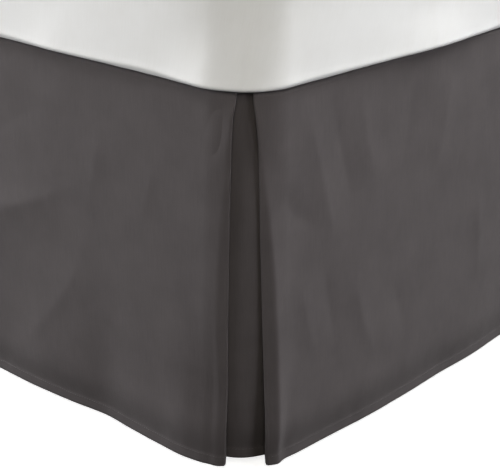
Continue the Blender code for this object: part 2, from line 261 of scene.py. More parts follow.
# Beside the right foot corner, as far as the photograph shows. Foot offsets are negative.
CREASES = (
    # Foot: two long diagonal ridges
    Crease(0.024, -0.0032, ((-0.480, 0.130), (-0.345, 0.178), (-0.270, 0.205), (-0.195, 0.240))),
    Crease(0.020, -0.0016, ((-0.196, 0.176), (-0.208, 0.148), (-0.242, 0.100), (-0.296, 0.040))),
    # Foot: faint undulations
    Crease(0.012, 0.0007, ((-0.345, 0.255), (-0.245, 0.308))),
    Crease(0.014, -0.0008, ((-0.172, 0.300), (-0.192, 0.205))),
    Crease(0.012, -0.0007, ((-0.102, 0.280), (-0.122, 0.210))),
    # Foot: the left flap's own crease, and the fan of small folds under the deck's corner
    Crease(0.0075, -0.0022, (
        (-0.0090, 0.400), (-0.0120, 0.350), (-0.0152, 0.330), (-0.0172, 0.300), (-0.0190, 0.262),
        (-0.0218, 0.225), (-0.0242, 0.190), (-0.0252, 0.150), (-0.0245, 0.110), (-0.0240, 0.060),
        (-0.0235, 0.000),
    )),
    Crease(0.0100, -0.0024, ((-0.0090, 0.400), (-0.0130, 0.342), (-0.0180, 0.285))),
    Crease(0.009, 0.0013, ((-0.018, 0.372), (-0.027, 0.335), (-0.036, 0.288))),
    # Right side: the ridge where the flap turns into the panel
    Crease(0.0085, -0.0040, (
        (0.0030, 0.400), (0.0060, 0.345), (0.0095, 0.322), (0.0125, 0.295), (0.0190, 0.250),
        (0.0242, 0.202), (0.0285, 0.138), (0.0325, 0.060), (0.0362, 0.000), (0.0370, -0.120),
    )),
    # Right side: the turn from the shaded top to the bright patch under it
    Crease(0.018, 0.0016, ((0.026, 0.270), (0.056, 0.242), (0.092, 0.222))),
    # Right side: long soft waves that lean towards the head as they fall
    Crease(0.015, -0.0015, ((0.058, 0.362), (0.080, 0.300), (0.098, 0.240), (0.118, 0.180))),
    Crease(0.014, 0.0010, ((0.098, 0.348), (0.120, 0.280), (0.140, 0.212))),
    Crease(0.014, -0.0012, ((0.138, 0.350), (0.154, 0.290), (0.170, 0.240))),
    Crease(0.020, 0.0010, ((0.228, 0.350), (0.212, 0.255))),
    Crease(0.018, -0.0013, ((0.290, 0.345), (0.274, 0.262), (0.258, 0.220))),
    Crease(0.014, -0.0010, ((0.060, 0.180), (0.084, 0.095))),
    Crease(0.011, 0.0010, ((0.094, 0.188), (0.116, 0.092))),
    Crease(0.012, -0.0011, ((0.138, 0.168), (0.152, 0.120), (0.172, 0.070))),
    Crease(0.014, 0.0008, ((0.200, 0.145), (0.231, 0.060))),
    Crease(0.010, -0.0010, ((0.347, 0.205), (0.356, 0.090))),
)
# How round the crest of a crease is, and over what share of its length it fades at each end
CREST = 0.0025
CREASE_FADE = 0.35


class Drop(NamedTuple):
    """One hanging panel, between two places on the outline."""

    name: str
    node: str
    start: float
    end: float
    start_pleated: bool
    end_pleated: bool
    steps: int
    flat_width: float


class Wander(NamedTuple):
    """A random wander of a surface, the same each run."""

    size: float
    along: float   # turns of the noise for each unit along the outline
    up: float      # and for each unit of height
    seed: float


# The cloth's, its hem's puckers, and the mattress's lower edge, gathers and wall
CLOTH_WANDERS = (Wander(0.00045, 16, 9, 3.1), Wander(0.00016, 55, 34, 8.7))
HEM_PUCKERS = Wander(0.00036, 80, 1.7, 4.4)
EDGE_WANDER = Wander(0.006, 5.5, 9.0, 2.3)
EDGE_GATHERS = Wander(0.0005, 42, 26, 6.1)
WALL_WANDER = Wander(0.0006, 13, 10, 4.1)


def wander_depths(wander, places, height, shift=0):
    """The depths that a wander gives a surface at one height."""
    return np.array([
        wander.size * noise.noise(
            Vector((place * wander.along, height * wander.up, wander.seed + shift))
        )
        for place in places
    ])


def smooth_share(value):
    """Eases shares from 0 to 1, and holds them at the ends."""
    share = np.clip(value, 0.0, 1.0)
    return share * share * (3 - 2 * share)


def outline_points(places, depths):
    """Points in plan, from places along the skirt's outline and depths inside it."""
    distance = np.abs(places)
    angle = np.clip((distance - STRAIGHT_FOOT) / CORNER_RADIUS, 0.0, pi / 2)
    along_foot = np.minimum(distance, STRAIGHT_FOOT)
    along_side = np.maximum(distance - STRAIGHT_FOOT - QUARTER_TURN, 0.0)
    radius = CORNER_RADIUS - depths
    x = along_foot + radius * np.sin(angle)
    y = CORNER_RADIUS - HALF_LENGTH - radius * np.cos(angle) + along_side
    return np.stack([np.where(places >= 0, x, -x), y], axis=-1)


def head_end():
    """The place on the outline where the right side ends, level with the deck's head edge."""
    deck_half_length = HALF_LENGTH - PLEAT[-1].hang
    return STRAIGHT_FOOT + QUARTER_TURN + HALF_LENGTH - CORNER_RADIUS + deck_half_length


DROPS = (
    Drop("skirt_side_left", "drop_side_left", -head_end(), -CORNER, False, True,
         FRONT_STEPS_SIDE, SIDE_FLAT),
    Drop("skirt_foot", "drop_foot", -CORNER, CORNER, True, True, FRONT_STEPS_FOOT, FOOT_FLAT),
    Drop("skirt_side_right", "drop_side_right", CORNER, head_end(), True, False,
         FRONT_STEPS_SIDE, SIDE_FLAT),
)


def pleat_at(height):
    """The pleat's sizes at a height, with the table's steps between rows eased."""
    heights = [row.height for row in PLEAT]
    near = height + PLEAT_BLUR * np.linspace(-1, 1, 9)
    near = np.clip(near, heights[0], None)
    near = np.where(near > heights[-1], 2 * heights[-1] - near, near)
    columns = zip(*PLEAT)
    return PleatRow(*(float(np.interp(near, heights, column).mean()) for column in columns))


def fold_depths(places, height):
    """The depths that all folds and creases give a drop at one height."""
    depths = np.zeros_like(places)
    for fold in FOLDS:
        rise = height - fold.height
        across = (places - fold.place - fold.lean * rise) / fold.width
        depths += fold.depth * np.exp(-across * across - (rise / fold.length) ** 2)
    for crease in CREASES:
        depths += crease_depths(crease, places - CORNER, height)
    return depths * smooth_share((SKIRT_TOP - height) / FOLD_FADE)


def crease_depths(crease, offsets, height):
    """The depths that one crease gives a drop at one height, sharpest at its crest."""
    joints = np.array(crease.line)
    lengths = np.linalg.norm(np.diff(joints, axis=0), axis=1)
    starts = np.concatenate([[0.0], np.cumsum(lengths)])
    nearest = np.full_like(offsets, 1.0)
    along = np.zeros_like(offsets)
    for joint, after, length, start in zip(joints, joints[1:], lengths, starts):
        run, rise = (after - joint) / length
        aside = offsets - joint[0]
        above = height - joint[1]
        reach = np.clip(aside * run + above * rise, 0.0, length)
        away = np.hypot(aside - reach * run, above - reach * rise)
        along = np.where(away < nearest, start + reach, along)
        nearest = np.minimum(nearest, away)
    to_end = np.minimum(along, starts[-1] - along) / starts[-1]
    spread = (np.hypot(nearest, CREST) - CREST) / crease.width
    return crease.depth * np.exp(-spread) * smooth_share(to_end / CREASE_FADE)


def hem_shape(places, height, hem):
    """Depth that the hem's turning adds: a dent along its stitching with small puckers."""
    above = height - hem - HEM_SEAM
    spread = HEM_DENT_UPPER if above > 0 else HEM_DENT_LOWER
    dent = HEM_DENT * np.exp(-(above / spread) ** 2)
    near = np.exp(-(above / HEM_DENT_LOWER) ** 2)
    return dent + near * wander_depths(HEM_PUCKERS, places, 1.0)


def cloth_half(places, height, hem, raw_ends=()):
    """Half the cloth's thickness, with a second layer in its hem and at its open ends."""
    layer = np.full_like(places, smooth_share((hem + HEM_SEAM - height) / LAYER_FADE))
    for end in raw_ends:
        inside = HEM_DEPTH - np.abs(places - end)
        layer = np.maximum(layer, smooth_share(inside / RAW_END_FADE))
    rim = smooth_share((height - hem) / RIM_ROUNDING)
    return (CLOTH + HEM_EXTRA * layer) / 2 * (RIM_SHARE + (1 - RIM_SHARE) * rim)


def drop_depths(places, height):
    """The depths of the middle of a drop's cloth."""
    depths = pleat_at(height).hang + SOLID_CLOTH / 2 + fold_depths(places, height)
    for wander in CLOTH_WANDERS:
        depths += wander_depths(wander, places, height)
    return depths + hem_shape(places, height, HEM_CLEARANCE)


def flap_path(edge, towards, tuck, height):
    """A flap's cloth from its return's sewn end round its folded edge: places and depths."""
    row = pleat_at(height)
    radius = row.fold / 2
    turn = edge + towards * (radius + SOLID_CLOTH / 2)
    front = float(drop_depths(np.array([turn]), height)[0]) + tuck
    sewn = row.side + SOLID_CLOTH / 2 - SOLID_CLOTH - SEAM_GAP
    share = np.arange(RETURN_STEPS) / RETURN_STEPS
    far = edge + towards * RETURN_WIDTH
    places = far + (turn - far) * share
    depths = sewn + (front + row.fold - sewn) * share
    angle = pi * np.arange(FOLD_STEPS + 1) / FOLD_STEPS
    places = np.append(places, turn - towards * radius * np.sin(angle))
    depths = np.append(depths, front + radius + radius * np.cos(angle))
    return places, depths


def step_shares(drop):
    """The shares of a drop's width at its steps, which are closer beside its pleats."""
    share = np.arange(1, drop.steps) / drop.steps
    if drop.start_pleated and drop.end_pleated:
        return share - STEP_CONTRAST * np.sin(2 * pi * share) / (2 * pi)
    bend = STEP_CONTRAST * np.sin(pi * share) / pi
    return share - bend if drop.start_pleated else share + bend


def drop_path(drop, height):
    """A drop's cloth at one height, from its start to its end: places and depths."""
    row = pleat_at(height)
    start = np.array([drop.start]), drop_depths(np.array([drop.start]), height)
    end = np.array([drop.end]), drop_depths(np.array([drop.end]), height)
    start_tuck = end_tuck = 0.0
    if drop.start_pleated:
        start_tuck = row.right_tuck
        start = flap_path(drop.start + row.right, 1, start_tuck, height)
    if drop.end_pleated:
        end_tuck = row.left_tuck
        end = flap_path(drop.end - row.left, -1, end_tuck, height)
    first, last = start[0][-1], end[0][-1]
    places = first + (last - first) * step_shares(drop)
    depths = drop_depths(places, height)
    depths += start_tuck * np.clip(1 - (places - first) / TUCK_REACH, 0, None) ** 2
    depths += end_tuck * np.clip(1 - (last - places) / TUCK_REACH, 0, None) ** 2
    return (
        np.concatenate([start[0], places, end[0][::-1]]),
        np.concatenate([start[1], depths, end[1][::-1]]),
    )


def underlay_path(corner, height):
    """An underlay's cloth at one height, from left to right: places and depths."""
    row = pleat_at(height)
    left, right = -row.left - RETURN_WIDTH, row.right + RETURN_WIDTH
    offsets = np.linspace(left, right, UNDERLAY_STEPS + 1)
    spread = np.abs(offsets) - UNDERLAY_MIDDLE_REACH
    share = smooth_share(spread / (UNDERLAY_SIDE_REACH - UNDERLAY_MIDDLE_REACH))
    depths = row.middle + (row.side - row.middle) * share + SOLID_CLOTH / 2
    places = (UNDERLAY_CREASE_PLACE + (UNDERLAY_CREASE_TOP - height) * UNDERLAY_CREASE_LEAN,
              row.right)
    ridges = UNDERLAY_RIDGES if corner > 0 else UNDERLAY_RIDGES[:1]
    for ridge, place in zip(ridges, places):
        across = (offsets - place) / ridge.width
        inside = smooth_share((ridge.top - height) / ridge.top_fade)
        inside *= smooth_share((height - ridge.bottom) / ridge.bottom_fade)
        depths -= ridge.depth * np.exp(-across * across) * inside
    depths += hem_shape(corner + offsets, height, HEM_CLEARANCE + UNDERLAY_LIFT)
    return corner + offsets, depths


def cloth_faces(points, half):
    """The two faces of a cloth whose middle runs through points in plan."""
    steps = np.diff(points, axis=0)
    steps /= np.linalg.norm(steps, axis=1)[:, None]
    before = np.concatenate([steps[:1], steps])
    after = np.concatenate([steps, steps[-1:]])
    along = before + after
    along /= np.linalg.norm(along, axis=1)[:, None]
    reach = half / (along * after).sum(axis=1)
    offset = np.stack([along[:, 1], -along[:, 0]], axis=1) * reach[:, None]
    return points + offset, points - offset


def arc_lengths(points):
    """How far each point of a line in plan is from its start."""
    steps = np.linalg.norm(np.diff(points, axis=0), axis=1)
    return np.concatenate([[0.0], np.cumsum(steps)])


def cloth_heights(hem):
    """The heights of a cloth's rows, closer together at its hem."""
    fine = hem + np.array([0.0, 0.0007, 0.0016, 0.003, 0.0045, 0.006, 0.0075, 0.0088, 0.0096])
    turn = hem + HEM_DEPTH + np.array([0.0, 0.0006, 0.0014, 0.0024, 0.0036, 0.005, 0.0066])
    low = turn[-1] + ROW_STEP
    count = int(round((SKIRT_TOP - low) / ROW_STEP))
    return np.concatenate([fine, turn, np.linspace(low, SKIRT_TOP, count + 1)])


def new_object(name, vertices, faces, material, flat_places=None):
    """A smooth mesh piece that rides on a body, with its places in the flat cloth as UVs."""
    mesh = bpy.data.meshes.new(name)
    mesh.from_pydata([tuple(v) for v in vertices], [], faces)
    if flat_places is not None:
        layer = mesh.uv_layers.new(name="flat_cloth")
        corners = np.empty(len(mesh.loops), dtype=np.int32)
        mesh.loops.foreach_get("vertex_index", corners)
        layer.data.foreach_set("uv", np.asarray(flat_places, dtype=np.float32)[corners].ravel())
    mesh.validate()
    mesh.shade_smooth()
    mesh.materials.append(material)
    piece = bpy.data.objects.new(name, mesh)
    bpy.context.scene.collection.objects.link(piece)
    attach(piece, "root")
    return piece


def make_cloth(name, heights, paths, halves, material):
    """A hanging cloth as one closed thin sheet, from its path in plan at each height."""
    rows = []
    flat_rows = []
    for height, (places, depths), half in zip(heights, paths, halves):
        points = outline_points(places, depths)
        right_face, left_face = cloth_faces(points, half)
        ring = np.concatenate([right_face, left_face[::-1]])
        rows.append(np.column_stack([ring, np.full(len(ring), height)]))
        run = arc_lengths(points)
        run = np.concatenate([run, run[::-1]])
        flat_rows.append(np.column_stack([run, np.full(len(ring), height)]))
    around = len(rows[0])
    faces = wall_faces(len(rows), around)
    top = (len(rows) - 1) * around
    for here in range(around // 2 - 1):
        back = around - 1 - here
        faces.append((here, back, back - 1, here + 1))
        faces.append((top + here, top + here + 1, top + back - 1, top + back))
    flat_places = np.concatenate(flat_rows)
    return new_object(name, np.concatenate(rows), faces, material, flat_places)


def make_stitches(name, path, height, half, material):
    """A row of lockstitches on a cloth's outer face, each a small bead sunk at its ends."""
    outer, _ = cloth_faces(outline_points(*path), half)
    run = arc_lengths(outer)
    starts = np.arange(STITCH_PITCH, run[-1] - STITCH_PITCH, STITCH_PITCH)
    shares = np.linspace(0, 1, STITCH_SECTIONS)
    vertices = []
    faces = []
    for start in starts:
        along = start + STITCH_LENGTH * shares
        centres = np.column_stack([np.interp(along, run, outer[:, axis]) for axis in (0, 1)])
        heading = centres[-1] - centres[0]
        heading /= np.linalg.norm(heading)
        outward = np.array([heading[1], -heading[0]])
        for centre, share in zip(centres, shares):
            proud = STITCH_RADIUS * (1.5 * sin(pi * share) ** 0.5 - 1.2)
            for side in range(STITCH_SIDES):
                angle = 2 * pi * side / STITCH_SIDES
                out = outward * (proud + STITCH_RADIUS * cos(angle))
                vertices.append((*(centre + out), height + STITCH_RADIUS * sin(angle)))
        first = len(vertices) - STITCH_SECTIONS * STITCH_SIDES
        for section in range(STITCH_SECTIONS - 1):
            low = first + section * STITCH_SIDES
            for side in range(STITCH_SIDES):
                after = (side + 1) % STITCH_SIDES
                faces.append((low + side, low + STITCH_SIDES + side,
                              low + STITCH_SIDES + after, low + after))
        faces.append(tuple(first + side for side in range(STITCH_SIDES)))
        last = len(vertices) - STITCH_SIDES
        faces.append(tuple(last + side for side in reversed(range(STITCH_SIDES))))
    piece = new_object(name, vertices, faces, material)
    return piece


def hang_cloth(name, node, hem, path_at, material, thread, raw_ends=()):
    """A hanging cloth in its node's place, with its path at each height, and its stitching."""
    heights = cloth_heights(hem)
    paths = [path_at(height) for height in heights]
    halves = [
        cloth_half(places, height, hem, raw_ends)
        for height, (places, depths) in zip(heights, paths)
    ]
    piece = make_cloth(name, heights, paths, halves, material)
    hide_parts(node)
    height = hem + STITCH_HEIGHT
    path = path_at(height)
    half = cloth_half(path[0], height, hem, raw_ends)
    stitches = make_stitches(name + "_stitches", path, height, half, thread)


def make_drop(drop, material, thread):
    """One hanging panel and its hem's stitching."""
    ends = ((drop.start, drop.start_pleated), (drop.end, drop.end_pleated))
    raw_ends = [end for end, pleated in ends if not pleated]
    path_at = partial(drop_path, drop)
    hang_cloth(drop.name, drop.node, HEM_CLEARANCE, path_at, material, thread, raw_ends)


def make_underlay(name, node, corner, material, thread):
    """The piece of cloth behind one corner's opening, and its hem's stitching."""
    path_at = partial(underlay_path, corner)
    hang_cloth(name, node, HEM_CLEARANCE + UNDERLAY_LIFT, path_at, material, thread)


def places_round(end, foot_steps, bend_steps, side_steps):
    """Places along the outline between an end on the left side and its twin on the right."""
    foot = np.linspace(0.0, STRAIGHT_FOOT, foot_steps)[:-1]
    bend = np.linspace(STRAIGHT_FOOT, STRAIGHT_FOOT + QUARTER_TURN, bend_steps)
    side = np.linspace(STRAIGHT_FOOT + QUARTER_TURN, end, side_steps)[1:]
    right = np.concatenate([foot, bend, side])
    return np.concatenate([-right[:0:-1], right])


def make_deck(material):
    """The flat platform under the mattress, with its seam allowance turned in at the edges."""
    low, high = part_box("deck")
    edge = PLEAT[-1].hang
    rings = []
    profile = (
        (0.0003, low.z), (0.0, (low.z + high.z) / 2), (0.0003, high.z - 0.0002),
        (0.0012, high.z), (0.006, high.z), (0.0075, high.z - 0.0003), (0.009, high.z),
        (0.0105, high.z - 0.0002), (0.012, high.z - 0.0005), (0.030, high.z - 0.0005),
    )
    flat_places = []
    for inset, height in profile:
        places = places_round(head_end() - inset, 40, 24, 60)
        points = outline_points(places, np.full_like(places, edge + inset))
        rings.append(np.column_stack([points, np.full(len(points), height)]))
        flat_places.append(points)
    piece = new_object("skirt_deck", np.concatenate(rings), join_rings(rings), material,
                       np.concatenate(flat_places))
    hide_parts("deck")


def wall_faces(count, around):
    """The faces between closed rings of equal numbers of points."""
    faces = []
    for low in range(0, (count - 1) * around, around):
        high = low + around
        for here in range(around):
            after = (here + 1) % around
            faces.append((low + here, low + after, high + after, high + here))
    return faces


def join_rings(rings):
    """The faces that join closed rings of equal numbers of points, with both ends closed."""
    around = len(rings[0])
    faces = wall_faces(len(rings), around)
    faces.append(tuple(range(around - 1, -1, -1)))
    top = (len(rings) - 1) * around
    faces.append(tuple(range(top, top + around)))
    return faces


def ring_lengths(rings):
    """Flat places for rings of points: the length round each ring, and up from ring to ring."""
    up = np.concatenate([[0.0], np.cumsum([
        np.linalg.norm(high[0] - low[0]) for low, high in zip(rings, rings[1:])
    ])])
    flat_places = []
    for ring, rise in zip(rings, up):
        flat_places.append(np.column_stack([arc_lengths(ring), np.full(len(ring), rise)]))
    return np.concatenate(flat_places)


# The base: its corners, its rounded edges, how far its panels lie inside them, and its piping
BASE_CORNER = 0.060
BASE_ROUNDING = 0.008
BASE_PANEL = 0.0014
BASE_PIPING = 0.0022
BASE_PIPING_PROUD = 0.0008


def make_base(material):
    """The bed base: ticking panels that meet in piped seams round its upper and lower edges."""
    low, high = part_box("base")
    half = []
    for step in range(7):
        angle = step / 6 * pi / 2
        inset = BASE_PANEL + (BASE_ROUNDING - BASE_PANEL) * (1 - sin(angle))
        half.append((inset, BASE_ROUNDING * 0.6 * (1 - cos(angle))))
    proud = BASE_PANEL + BASE_PIPING_PROUD
    for step in range(9):
        angle = (step / 8 - 0.5) * pi
        half.append((proud - proud * cos(angle), BASE_ROUNDING + BASE_PIPING * (1 + sin(angle))))
    profile = [(inset, low.z + rise) for inset, rise in half]
    panel_edge = 2 * BASE_ROUNDING
    profile += [(BASE_PANEL, z) for z in np.linspace(low.z + panel_edge, high.z - panel_edge, 26)]
    profile += [(inset, high.z - rise) for inset, rise in reversed(half)]
    rings = [
        rounded_ring(high.x - inset, high.y - inset, BASE_CORNER - inset, z, 12, 60)
        for inset, z in profile
    ]
    piece = new_object("bed_base", np.concatenate(rings), join_rings(rings), material,
                       ring_lengths(rings))
    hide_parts("base")


LEG_SIDES = 56
LEG_FOOT_RADIUS = 0.019


def make_leg(node, material, pad):
    """A turned, tapered leg with a ring under its top and a dark pad under its foot."""
    low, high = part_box(node)
    centre_x, centre_y = (low.x + high.x) / 2, (low.y + high.y) / 2
    top_radius = (high.x - low.x) / 2
    foot_radius = LEG_FOOT_RADIUS
    length = high.z - low.z
    profile = [
        (foot_radius - 0.0040, 0.0), (foot_radius - 0.0030, 0.0008), (foot_radius - 0.0030, 0.0030),
        (foot_radius - 0.0022, 0.0031), (foot_radius - 0.0008, 0.0042), (foot_radius, 0.0065),
    ]
    for share in np.linspace(0.08, 0.80, 14):
        profile.append((foot_radius + (top_radius - foot_radius) * share ** 1.05, length * share))
    neck = profile[-1][0]
    profile += [
        (neck + 0.0004, length * 0.83), (neck - 0.0018, length * 0.84), (neck - 0.0018, length * 0.85),
        (neck + 0.0006, length * 0.86), (neck + 0.0016, length * 0.875), (neck + 0.0014, length * 0.89),
        (neck - 0.0006, length * 0.905), (top_radius - 0.0008, length * 0.95),
        (top_radius - 0.0002, length * 0.985), (top_radius - 0.0008, length),
    ]
    angles = 2 * pi * np.arange(LEG_SIDES) / LEG_SIDES
    circle = np.column_stack([np.cos(angles), np.sin(angles)])
    rings = [
        np.column_stack([radius * circle, np.full(LEG_SIDES, rise)]) for radius, rise in profile
    ]
    piece = new_object(node + "_turned", np.concatenate(rings), join_rings(rings), material)
    piece.data.materials.append(pad)
    for face in piece.data.polygons:
        if face.center.z < 0.003:
            face.material_index = 1
    piece.location = (centre_x, centre_y, low.z)
    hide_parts(node)


def shader_material(name):
    """A new material, its node tree and its shader."""
    material = bpy.data.materials.new(name)
    material.use_nodes = True
    tree = material.node_tree
    return material, tree, tree.nodes["Principled BSDF"]


def add_noise(tree, vector, scale, detail=2.0, roughness=0.5):
    """A noise texture."""
    texture = tree.nodes.new("ShaderNodeTexNoise")
    texture.inputs["Scale"].default_value = scale
    texture.inputs["Detail"].default_value = detail
    texture.inputs["Roughness"].default_value = roughness
    tree.links.new(vector, texture.inputs["Vector"])
    return texture.outputs["Fac"]


def add_threads(tree, vector, direction, pitch, wobble):
    """Uneven parallel threads that follow one another at a pitch."""
    wave = tree.nodes.new("ShaderNodeTexWave")
    wave.bands_direction = direction
    wave.inputs["Scale"].default_value = 2 * pi / (WAVE_RADIANS * pitch)
    wave.inputs["Distortion"].default_value = wobble
    wave.inputs["Detail Scale"].default_value = 0.4
    tree.links.new(vector, wave.inputs["Vector"])
    return wave.outputs["Fac"]


def add_math(tree, operation, first, second):
    """A sum, product or other joining of two values, each a socket or a number."""
    node = tree.nodes.new("ShaderNodeMath")
    node.operation = operation
    for socket, value in zip(node.inputs, (first, second)):
        if isinstance(value, float):
            socket.default_value = value
        else:
            tree.links.new(value, socket)
    return node.outputs[0]


def add_mixed(tree, first, first_share, second, second_share):
    """A sum of two values, each times its share."""
    first = add_math(tree, "MULTIPLY", first, first_share)
    return add_math(tree, "ADD", first, add_math(tree, "MULTIPLY", second, second_share))


def add_stretch(tree, vector, scale):
    """Coordinates scaled by axis."""
    node = tree.nodes.new("ShaderNodeMapping")
    node.inputs["Scale"].default_value = scale
    tree.links.new(vector, node.inputs["Vector"])
    return node.outputs[0]


def add_ramp(tree, source, colours, low=0.3, high=0.7):
    """A ramp through evenly spaced colours, between two values of its source."""
    ramp = tree.nodes.new("ShaderNodeValToRGB")
    elements = ramp.color_ramp.elements
    for _ in colours[2:]:
        elements.new(0.5)
    for index, colour in enumerate(colours):
        elements[index].position = low + (high - low) * index / (len(colours) - 1)
        elements[index].color = (*colour, 1)
    tree.links.new(source, ramp.inputs["Fac"])
    return ramp.outputs["Color"]


def add_bump(tree, source, strength, distance, normal=None):
    """A bump from a height, on top of another normal where one is given."""
    bump = tree.nodes.new("ShaderNodeBump")
    bump.inputs["Strength"].default_value = strength
    bump.inputs["Distance"].default_value = distance
    tree.links.new(source, bump.inputs["Height"])
    if normal is not None:
        tree.links.new(normal, bump.inputs["Normal"])
    return bump.outputs["Normal"]


def object_places(tree):
    """Coordinates in the object's own metres."""
    return tree.nodes.new("ShaderNodeTexCoord").outputs["Object"]


def flat_places_of(tree):
    """Coordinates in the flat cloth, in metres."""
    node = tree.nodes.new("ShaderNodeUVMap")
    node.uv_map = "flat_cloth"
    return node.outputs["UV"]


def set_finish(shader, sheen=0.0, sheen_roughness=0.5, specular=0.25, coat=0.0):
    """The even values of a shader."""
    shader.inputs["Sheen Weight"].default_value = sheen
    shader.inputs["Sheen Roughness"].default_value = sheen_roughness
    shader.inputs["Specular IOR Level"].default_value = specular
    shader.inputs["Coat Weight"].default_value = coat


def woven_material(name, colours, pitch, relief, roughness, sheen, hem_painted_shade=1.0):
    """A plain weave in the flat cloth's places: threads, fibres, mottling and a soft sheen.

    Near its hem the colour is darkened to a share of the rest's, as painted shade.
    """
    material, tree, shader = shader_material(name)
    body = object_places(tree)
    flat = flat_places_of(tree)
    warp = add_threads(tree, flat, "X", pitch, WEAVE_WOBBLE)
    weft = add_threads(tree, flat, "Y", pitch * 1.15, WEAVE_WOBBLE)
    weave = add_math(tree, "MULTIPLY", add_math(tree, "ADD", warp, weft), 0.5)
    mottle = add_noise(tree, body, 24.0, 6.0, 0.6)
    streaks = add_noise(tree, add_stretch(tree, flat, (900.0, 40.0, 1.0)), 1.0, 2.0)
    shade = add_mixed(tree, mottle, 0.62, streaks, 0.38)
    shade = add_math(tree, "ADD", shade, add_math(tree, "MULTIPLY", weave, 0.10))
    shade = add_math(tree, "ADD", shade, -0.05)
    colour = add_ramp(tree, shade, colours)
    # Painted shade: the colour darkens towards the hem, by height in the flat cloth
    if hem_painted_shade < 1:
        split = tree.nodes.new("ShaderNodeSeparateXYZ")
        tree.links.new(flat, split.inputs[0])
        tone = add_ramp(tree, split.outputs["Y"], ((hem_painted_shade,) * 3, (1, 1, 1)), *HEM_PAINTED_SHADE_FADE)
        mix = tree.nodes.new("ShaderNodeVectorMath")
        mix.operation = "MULTIPLY"
        tree.links.new(colour, mix.inputs[0])
        tree.links.new(tone, mix.inputs[1])
        colour = mix.outputs[0]
    tree.links.new(colour, shader.inputs["Base Color"])
    fibres = add_noise(tree, body, 2400.0, 2.0)
    rough = add_math(tree, "ADD", add_math(tree, "MULTIPLY", fibres, 0.16), roughness - 0.08)
    tree.links.new(rough, shader.inputs["Roughness"])
    set_finish(shader, sheen)
    normal = add_bump(tree, weave, 0.5, relief)
    normal = add_bump(tree, fibres, 0.22, 0.00016, normal)
    tree.links.new(normal, shader.inputs["Normal"])
    return material


def ticking_material():
    """Cream ticking: a steep twill with darker slubs."""
    material, tree, shader = shader_material("ticking")
    body = object_places(tree)
    flat = flat_places_of(tree)
    twill = add_threads(tree, add_stretch(tree, flat, (1.0, 0.55, 1.0)), "DIAGONAL", 0.0011, 1.2)
    threads = add_threads(tree, flat, "X", 0.0005, 1.5)
    weave = add_mixed(tree, twill, 0.65, threads, 0.35)
    mottle = add_noise(tree, body, 14.0, 5.0, 0.6)
    shade = add_mixed(tree, mottle, 0.6, weave, 0.4)
    colours = ((0.40, 0.37, 0.32), (0.55, 0.52, 0.46), (0.66, 0.63, 0.57))
    tree.links.new(add_ramp(tree, shade, colours, 0.25, 0.75), shader.inputs["Base Color"])
    shader.inputs["Roughness"].default_value = 0.88
    set_finish(shader, 0.15)
    fibres = add_noise(tree, body, 2000.0, 2.0)
    normal = add_bump(tree, weave, 0.6, 0.00025)
    tree.links.new(add_bump(tree, fibres, 0.2, 0.00015, normal), shader.inputs["Normal"])
    return material


def wood_material():
    """Dark stained hardwood with its grain up the leg, under a satin varnish."""
    material, tree, shader = shader_material("dark_wood")
    body = object_places(tree)
    along = add_stretch(tree, body, (1.0, 1.0, 0.045))
    grain = add_noise(tree, along, 260.0, 6.0, 0.65)
    pores = add_noise(tree, add_stretch(tree, body, (1.0, 1.0, 0.02)), 1500.0, 2.0)
    wander = add_noise(tree, body, 16.0, 2.0)
    shade = add_mixed(tree, grain, 0.70, wander, 0.30)
    colours = ((0.020, 0.009, 0.005), (0.050, 0.024, 0.012), (0.095, 0.048, 0.024))
    tree.links.new(add_ramp(tree, shade, colours, 0.32, 0.68), shader.inputs["Base Color"])
    rough = add_math(tree, "ADD", add_math(tree, "MULTIPLY", pores, 0.25), 0.26)
    tree.links.new(rough, shader.inputs["Roughness"])
    set_finish(shader, 0.0, specular=0.5, coat=0.25)
    shader.inputs["Coat Roughness"].default_value = 0.22
    normal = add_bump(tree, grain, 0.12, 0.0004)
    tree.links.new(add_bump(tree, pores, 0.15, 0.0002, normal), shader.inputs["Normal"])
    return material


def felt_material():
    """The felt pad under a leg."""
    material, tree, shader = shader_material("leg_felt")
    body = object_places(tree)
    fibres = add_noise(tree, body, 1400.0, 4.0, 0.7)
    colours = ((0.016, 0.015, 0.014), (0.038, 0.036, 0.034))
    tree.links.new(add_ramp(tree, fibres, colours), shader.inputs["Base Color"])
    shader.inputs["Roughness"].default_value = 0.95
    set_finish(shader, 0.3)
    tree.links.new(add_bump(tree, fibres, 0.6, 0.0005), shader.inputs["Normal"])
    return material


def thread_material():
    """Sewing thread, twisted, of the cloth's own colour."""
    material, tree, shader = shader_material("thread")
    body = object_places(tree)
    twist = add_threads(tree, body, "DIAGONAL", 0.0003, 0.5)
    colours = ((0.056, 0.049, 0.052), (0.080, 0.071, 0.074))
    tree.links.new(add_ramp(tree, twist, colours, 0.2, 0.9), shader.inputs["Base Color"])
    shader.inputs["Roughness"].default_value = 0.6
    set_finish(shader, 0.2, specular=0.3)
    tree.links.new(add_bump(tree, twist, 0.5, 0.00006), shader.inputs["Normal"])
    return material


def rounded_ring(half_x, half_y, radius, height, corner_steps, side_steps):
    """A closed ring of points round a rectangle with round corners."""
    arcs = []
    for quarter, (side_x, side_y) in enumerate(((1, 1), (-1, 1), (-1, -1), (1, -1))):
        angles = (quarter + np.arange(corner_steps + 1) / corner_steps) * pi / 2
        centre = np.array((side_x * (half_x - radius), side_y * (half_y - radius)))
        arcs.append(centre + radius * np.column_stack([np.cos(angles), np.sin(angles)]))
    ring = []
    for arc, after in zip(arcs, arcs[1:] + arcs[:1]):
        ring += [arc, np.linspace(arc[-1], after[0], side_steps + 1)[1:-1]]
    points = np.concatenate(ring)
    return np.column_stack([points, np.full(len(points), height)])


